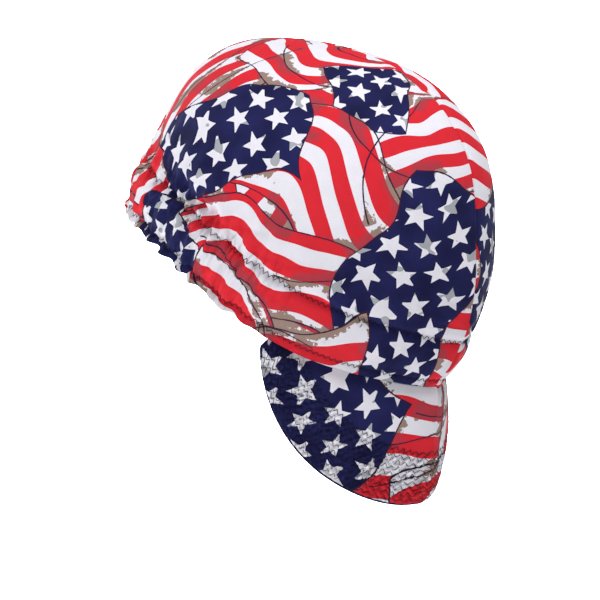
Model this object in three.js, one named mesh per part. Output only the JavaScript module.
// Welding cap: a soft cloth cap of two half panels sewn together along the middle, with a gathered hem
// and a short peak of two cloth plies.
// Millimetres. +Z is up along the crown, the peak points to -Y and the wearer's right is -X.
// The origin is the middle of the head opening.

import * as THREE from "three";
import { mergeVertices } from "three/addons/utils/BufferGeometryUtils.js";

// Head opening
const openingFront = 112;
const openingBack = 103;
const openingHalfWidth = 85;
const frontArch = 8;

// Crown
const crownHeight = 138;
const topForward = 15;
const clothThickness = 1.2;
const pieceGap = 0.3;

// Hem, which is the lower edge of the crown folded up inside and stitched at its top
const hemHeight = 31;
const hemPuff = 2.2;
const stitchGroove = 0.9;
const facingThickness = 1;
const facingShortfall = 1.5;

// Gathers that the elastic in the hem draws up, from the peak's corners round the back. They set in over
// the ease before and after their start, and their uneven waves keep them from being alike.
const gatherStart = 0.36;
const gatherEaseBefore = 0.04;
const gatherEaseAfter = 0.12;
const gathersPerSide = 14;
const gatherDepth = 1.3;
const gatherReach = 34;
const unevenWaves = [
  { share: 0.22, rate: 1.7, lag: 1 },
  { share: 0.12, rate: 3.1, lag: -1 },
];
const rimRuffle = 1.6;
const rimWaveShift = 0.02;

// Where the cloth is smooth: beside the middle seam, over the top and in the hem, where no fold reaches
const seamFlatness = 0.12;
const smoothTop = 0.8;
const foldsSetIn = 1.3;

// Peak: its splay is in degrees out from straight down. Its squareness keeps the middle deep and its
// fullness fills out the corners. Its edge is rounder in plan than the rim, and is a little less deep at
// the middle, by the dip.
const peakDepth = 64;
const peakCorner = 0.365;
const peakPlyThickness = 1;
const peakCentreSplay = 25;
const peakCornerSplay = 14;
const peakSquareness = 2.6;
const peakFullness = 0.8;
const peakRoundness = 1.5;
const peakCentreDip = 8;
const peakDipReach = 0.22;
const peakCurl = 2.5;
const underPlyMargin = 0.8;

// Level sections of the crown, from the rim to the top. The height is a share of crownHeight. Front and
// back are shares of the rim's reach from below the top, and side is a share of openingHalfWidth. The
// prow is 2 where the panels meet smoothly at the front and less where their seam stands out as an edge.
const crownSections = [
  { height: 0, front: 1, back: 1, side: 1, prow: 1.21 },
  { height: 0.1, front: 1.02, back: 1, side: 1, prow: 1.2 },
  { height: 0.2, front: 1.025, back: 0.995, side: 1.01, prow: 1.22 },
  { height: 0.31, front: 1.01, back: 1.005, side: 1.01, prow: 1.32 },
  { height: 0.46, front: 0.94, back: 1.01, side: 1, prow: 1.46 },
  { height: 0.61, front: 0.825, back: 0.975, side: 0.925, prow: 1.58 },
  { height: 0.75, front: 0.7, back: 0.86, side: 0.79, prow: 1.66 },
  { height: 0.86, front: 0.56, back: 0.645, side: 0.61, prow: 1.7 },
  { height: 0.94, front: 0.375, back: 0.39, side: 0.39, prow: 1.75 },
  { height: 1, front: 0, back: 0, side: 0, prow: 1.8 },
];
const backRoundness = 1.95;

// Height of the rim from the middle seam at the front round to the back. The turn is 0 at the front and
// 1 at the back, and the lift is a share of frontArch.
const rimLevels = [
  { turn: 0, lift: 1 },
  { turn: 0.12, lift: 0.6 },
  { turn: 0.3, lift: 0 },
  { turn: 0.45, lift: 0.5 },
  { turn: 0.6, lift: 0.8 },
  { turn: 0.8, lift: -0.1 },
  { turn: 1, lift: -0.5 },
];

// Large soft folds of the crown. Turn and height place the middle, as above. Along and across are half
// lengths as shares of crownHeight, the slant is in degrees up towards the front, and the swell is a
// share of gatherDepth, negative for a dent.
const crownFolds = [
  { turn: 0.74, height: 0.27, along: 0.22, across: 0.045, slant: -4, swell: -2.2 },
  { turn: 0.72, height: 0.36, along: 0.2, across: 0.06, slant: -14, swell: 1.5 },
  { turn: 0.5, height: 0.33, along: 0.24, across: 0.045, slant: 14, swell: -1.2 },
  { turn: 0.46, height: 0.24, along: 0.2, across: 0.04, slant: 8, swell: 1.2 },
  { turn: 0.3, height: 0.13, along: 0.16, across: 0.03, slant: -10, swell: -1.3 },
];

// Places of the mesh lines: shares of hemHeight within the hem, then rows of the climb above it. The normal
// step is how far apart, as a share, the points are that give the way square to the cloth.
const hemLevels = [0, 0.2, 0.5, 0.8, 1];
const climbRows = 11;
const frontColumns = 12;
const gatheredColumns = 50;
const facingColumns = 32;
const facingRows = 3;
const peakColumns = 26;
const peakRows = 6;
const peakEnd = 0.985;
const normalStep = 0.004;

// Reads a column of a table at any place between its rows, along a smooth curve through them
function readTable(table, key, at, column) {
  const last = table.length - 1;
  let i = 0;
  while (i < last - 1 && at > table[i + 1][key]) {
    i += 1;
  }
  const slope = (a, b) => (table[b][column] - table[a][column]) / (table[b][key] - table[a][key]);
  const span = table[i + 1][key] - table[i][key];
  const t = THREE.MathUtils.clamp((at - table[i][key]) / span, 0, 1);
  const here = slope(i, i + 1);
  const before = i > 0 ? slope(i - 1, i + 1) : here;
  const after = i < last - 1 ? slope(i, i + 2) : here;
  const start = table[i][column];
  const end = table[i + 1][column];
  const rise = end - start;
  const cubic = (before + after) * span - 2 * rise;
  const square = 3 * rise - (2 * before + after) * span;
  return start + t * (before * span + t * (square + t * cubic));
}

function bump(distance, width) {
  return Math.exp(-((distance / width) ** 2));
}

// How strongly the elastic draws the cloth up, from 0 at the peak's corners to 1
function gathering(turn) {
  return THREE.MathUtils.smoothstep(turn, gatherStart - gatherEaseBefore, gatherStart + gatherEaseAfter);
}

// The uneven wave of the gathers; each side of the cap has its own
function gatherWave(turn, side) {
  const place = gathersPerSide * (turn - gatherStart) / (1 - gatherStart);
  let uneven = 0;
  for (const wave of unevenWaves) {
    uneven += wave.share * Math.sin(wave.rate * place + wave.lag * side);
  }
  return Math.cos(2 * Math.PI * (place + uneven));
}

function rimHeight(turn, side) {
  const lift = frontArch * readTable(rimLevels, "turn", turn, "lift");
  return lift + rimRuffle * gathering(turn) * gatherWave(turn + rimWaveShift, side) / 2;
}

// A column of the crown's sections, read so that the top closes as a round dome
function sectionAt(share, column) {
  const climb = (height) => 1 - Math.sqrt(Math.max(1 - height, 0));
  const rows = crownSections.map((row) => ({ ...row, climb: climb(row.height) }));
  return readTable(rows, "climb", climb(share), column);
}

// The plain crown without puffs, folds or gathers: level is the height above the rim
function plainPoint(turn, level, side) {
  const share = level / crownHeight;
  if (share >= 1) {
    return new THREE.Vector3(0, -topForward, crownHeight);
  }
  const front = (openingFront - topForward) * sectionAt(share, "front");
  const back = (openingBack + topForward) * sectionAt(share, "back");
  const across = openingHalfWidth * sectionAt(share, "side");
  const roundness = turn < 0.5 ? sectionAt(share, "prow") : backRoundness;
  const angle = Math.PI * turn;
  const wide = Math.max(Math.sin(angle), 0) ** (2 / roundness);
  const rim = rimHeight(turn, side) * (1 - share) ** 2;
  const y = (back - front) / 2 - Math.cos(angle) * (front + back) / 2 - topForward;
  return new THREE.Vector3(side * across * wide, y, rim + level);
}

// Square to the plain crown, pointing out
function plainNormal(turn, level, side) {
  const low = plainPoint(Math.max(turn - normalStep, 0), level, side);
  const high = plainPoint(Math.min(turn + normalStep, 1), level, side);
  const under = plainPoint(turn, Math.max(level - normalStep * crownHeight, 0), side);
  const over = plainPoint(turn, Math.min(level + normalStep * crownHeight, crownHeight), side);
  const normal = high.sub(low).cross(over.sub(under)).multiplyScalar(side);
  if (turn <= 0 || turn >= 1) {
    normal.x = 0;
  }
  if (level >= crownHeight) {
    normal.set(0, 0, 1);
  }
  return normal.normalize();
}

// How far the cloth stands out from the plain crown: the puffed hem, its stitched groove, the gathers and
// the soft folds
function swell(turn, level, side) {
  const inHem = THREE.MathUtils.clamp(level / hemHeight, 0, 1);
  const seamFade = THREE.MathUtils.smoothstep(Math.sin(Math.PI * turn), 0, seamFlatness);
  const puff = hemPuff * Math.sin(Math.PI * inHem);
  const groove = -stitchGroove * bump(level - hemHeight, hemHeight / 6);
  const fade = bump(Math.max(level - hemHeight, 0), gatherReach);
  const gathers = gatherDepth * gathering(turn) * gatherWave(turn, side) * fade;
  let folds = 0;
  for (const fold of crownFolds) {
    const ahead = (fold.turn - turn) * Math.PI * openingHalfWidth;
    const above = level - fold.height * crownHeight;
    const slant = THREE.MathUtils.degToRad(fold.slant);
    const along = ahead * Math.cos(slant) + above * Math.sin(slant);
    const across = above * Math.cos(slant) - ahead * Math.sin(slant);
    const spread = bump(along, fold.along * crownHeight) * bump(across, fold.across * crownHeight);
    folds += gatherDepth * fold.swell * spread;
  }
  folds *= THREE.MathUtils.smoothstep(level, hemHeight, foldsSetIn * hemHeight);
  const topFade = 1 - THREE.MathUtils.smoothstep(level, smoothTop * crownHeight, crownHeight);
  return (puff + groove + gathers + folds) * seamFade * topFade;
}

// Closed solid between an outer and an inner grid of points with the same rows and columns
function clothSolid(name, outer, inner, colour) {
  const rows = outer.length;
  const columns = outer[0].length;
  const places = [...outer.flat(), ...inner.flat()];
  const outerAt = (r, c) => r * columns + c;
  const innerAt = (r, c) => (rows + r) * columns + c;
  const corners = [];
  const quad = (a, b, c, d) => corners.push(a, b, c, a, c, d);
  for (let r = 0; r < rows - 1; r += 1) {
    for (let c = 0; c < columns - 1; c += 1) {
      quad(outerAt(r, c), outerAt(r, c + 1), outerAt(r + 1, c + 1), outerAt(r + 1, c));
      quad(innerAt(r, c), innerAt(r + 1, c), innerAt(r + 1, c + 1), innerAt(r, c + 1));
    }
    quad(outerAt(r, 0), outerAt(r + 1, 0), innerAt(r + 1, 0), innerAt(r, 0));
    quad(outerAt(r + 1, columns - 1), outerAt(r, columns - 1), innerAt(r, columns - 1),
      innerAt(r + 1, columns - 1));
  }
  for (let c = 0; c < columns - 1; c += 1) {
    quad(outerAt(0, c + 1), outerAt(0, c), innerAt(0, c), innerAt(0, c + 1));
    quad(outerAt(rows - 1, c), outerAt(rows - 1, c + 1), innerAt(rows - 1, c + 1), innerAt(rows - 1, c));
  }
  const geometry = new THREE.BufferGeometry();
  geometry.setAttribute("position", new THREE.Float32BufferAttribute(places.flatMap((p) => p.toArray()), 3));
  geometry.setIndex(corners);
  const merged = mergeVertices(geometry, 1e-4);
  merged.setIndex(outwardTriangles(merged));
  merged.computeVertexNormals();
  const material = new THREE.MeshStandardMaterial({ color: colour, roughness: 0.85, metalness: 0 });
  const mesh = new THREE.Mesh(merged, material);
  mesh.name = name;
  return mesh;
}

// Drops the triangles that close up at the top of the crown, and turns all of them to face outwards
function outwardTriangles(geometry) {
  const index = geometry.index.array;
  const position = geometry.attributes.position;
  const kept = [];
  let volume = 0;
  const [a, b, c] = [new THREE.Vector3(), new THREE.Vector3(), new THREE.Vector3()];
  for (let i = 0; i < index.length; i += 3) {
    const [p, q, r] = [index[i], index[i + 1], index[i + 2]];
    if (p !== q && q !== r && r !== p) {
      kept.push([p, q, r]);
      a.fromBufferAttribute(position, p);
      b.fromBufferAttribute(position, q);
      c.fromBufferAttribute(position, r);
      volume += a.dot(b.cross(c));
    }
  }
  return kept.flatMap(([p, q, r]) => (volume > 0 ? [p, q, r] : [p, r, q]));
}

// Places round one side of the crown, closer together where it is gathered
function panelTurns() {
  const turns = [];
  for (let c = 0; c < frontColumns; c += 1) {
    turns.push(gatherStart * c / frontColumns);
  }
  for (let c = 0; c <= gatheredColumns; c += 1) {
    turns.push(gatherStart + (1 - gatherStart) * c / gatheredColumns);
  }
  return turns;
}

// Keeps a point on its own side of the middle seam
function clearOfSeam(point, side) {
  point.x = side * Math.max(side * point.x, 0) + side * pieceGap / 2;
  return point;
}

// Half of the crown, from the rim to the top: side is -1 for the wearer's right and 1 for the left
function crownPanel(name, side) {
  const climb = crownHeight - hemHeight;
  const levels = hemLevels.map((share) => share * hemHeight);
  for (let r = 1; r <= climbRows; r += 1) {
    levels.push(hemHeight + climb * Math.sin(Math.PI / 2 * r / climbRows));
  }
  const turns = panelTurns();
  const outer = [];
  const inner = [];
  for (const level of levels) {
    const points = turns.map((turn) => {
      const normal = plainNormal(turn, level, side);
      return plainPoint(turn, level, side).addScaledVector(normal, swell(turn, level, side));
    });
    outer.push(points);
    inner.push(turns.map((turn, c) => {
      const normal = plainNormal(turn, level, side);
      if (level === 0) {
        normal.z = 0;
        normal.normalize();
      }
      return clearOfSeam(points[c].clone().addScaledVector(normal, -clothThickness), side);
    }));
  }
  const shifted = outer.map((row) => row.map((point) => clearOfSeam(point.clone(), side)));
  return clothSolid(name, shifted, inner, side < 0 ? 0xc23a44 : 0xb8343f);
}

// Inner ply of the hem on one side, clear of the deepest gathers so that the elastic has its channel
function hemFacing(name, side) {
  const outer = [];
  const inner = [];
  for (let r = 0; r <= facingRows; r += 1) {
    const level = (hemHeight - facingShortfall) * r / facingRows;
    const rowAt = (thickness) => {
      const row = [];
      for (let c = 0; c <= facingColumns; c += 1) {
        const turn = c / facingColumns;
        const normal = plainNormal(turn, level, side);
        normal.z = 0;
        normal.normalize();
        const deepest = gatherDepth * gathering(turn) + stitchGroove;
        const inset = clothThickness + pieceGap + deepest + thickness;
        const point = plainPoint(turn, level, side).addScaledVector(normal, -inset);
        row.push(clearOfSeam(point, side));
      }
      return row;
    };
    outer.push(rowAt(0));
    inner.push(rowAt(facingThickness));
  }
  return clothSolid(name, outer, inner, 0x9a2c38);
}

// The way the peak spreads from the rim, which turns evenly from straight ahead at the front
function fanOut(turn, side) {
  const angle = Math.PI * turn;
  const across = side * Math.sin(angle) / openingHalfWidth;
  const ahead = Math.cos(angle) * 2 / (openingFront + openingBack);
  return new THREE.Vector3(across, -ahead, 0).normalize();
}

// Point of the peak: along runs from -1 at the right corner to 1 at the left, drop from 0 at the seam to
// 1 at the free edge, and inset is measured inwards from the upper ply's face
function peakPoint(along, drop, inset, margin) {
  const side = along < 0 ? -1 : 1;
  const turn = Math.abs(along) * peakCorner;
  const rim = plainPoint(turn, 0, side);
  const roundness = THREE.MathUtils.lerp(crownSections[0].prow, peakRoundness, drop);
  rim.x = side * openingHalfWidth * crownSections[0].side * Math.sin(Math.PI * turn) ** (2 / roundness);
  const outward = fanOut(turn, side);
  const lean = THREE.MathUtils.degToRad(THREE.MathUtils.lerp(peakCentreSplay, peakCornerSplay, Math.abs(along)));
  const outline = (1 - Math.abs(along) ** peakSquareness) ** peakFullness;
  const depth = (peakDepth - peakCentreDip * bump(along, peakDipReach)) * outline + margin;
  const curl = peakCurl * Math.sin(Math.PI * drop) * depth / peakDepth;
  rim.addScaledVector(outward, depth * drop * Math.sin(lean) + curl - inset / Math.cos(lean));
  rim.z -= pieceGap + depth * drop * Math.cos(lean);
  return rim;
}

function peakPly(name, inset, margin, colour) {
  const gridAt = (depth) => {
    const rows = [];
    for (let r = 0; r <= peakRows; r += 1) {
      const row = [];
      for (let c = 0; c <= peakColumns; c += 1) {
        const along = peakEnd * Math.sin(Math.PI * (c / peakColumns - 0.5));
        row.push(peakPoint(along, r / peakRows, depth, margin));
      }
      rows.push(row);
    }
    return rows;
  };
  return clothSolid(name, gridAt(inset), gridAt(inset + peakPlyThickness), colour);
}

const cap = new THREE.Group();
cap.add(crownPanel("crown_panel_right", -1));
cap.add(crownPanel("crown_panel_left", 1));
cap.add(hemFacing("hem_facing_right", -1));
cap.add(hemFacing("hem_facing_left", 1));
cap.add(peakPly("peak_upper_ply", 0, 0, 0x27305f));
cap.add(peakPly("peak_under_ply", peakPlyThickness + pieceGap, underPlyMargin, 0x1b2147));

export default cap;
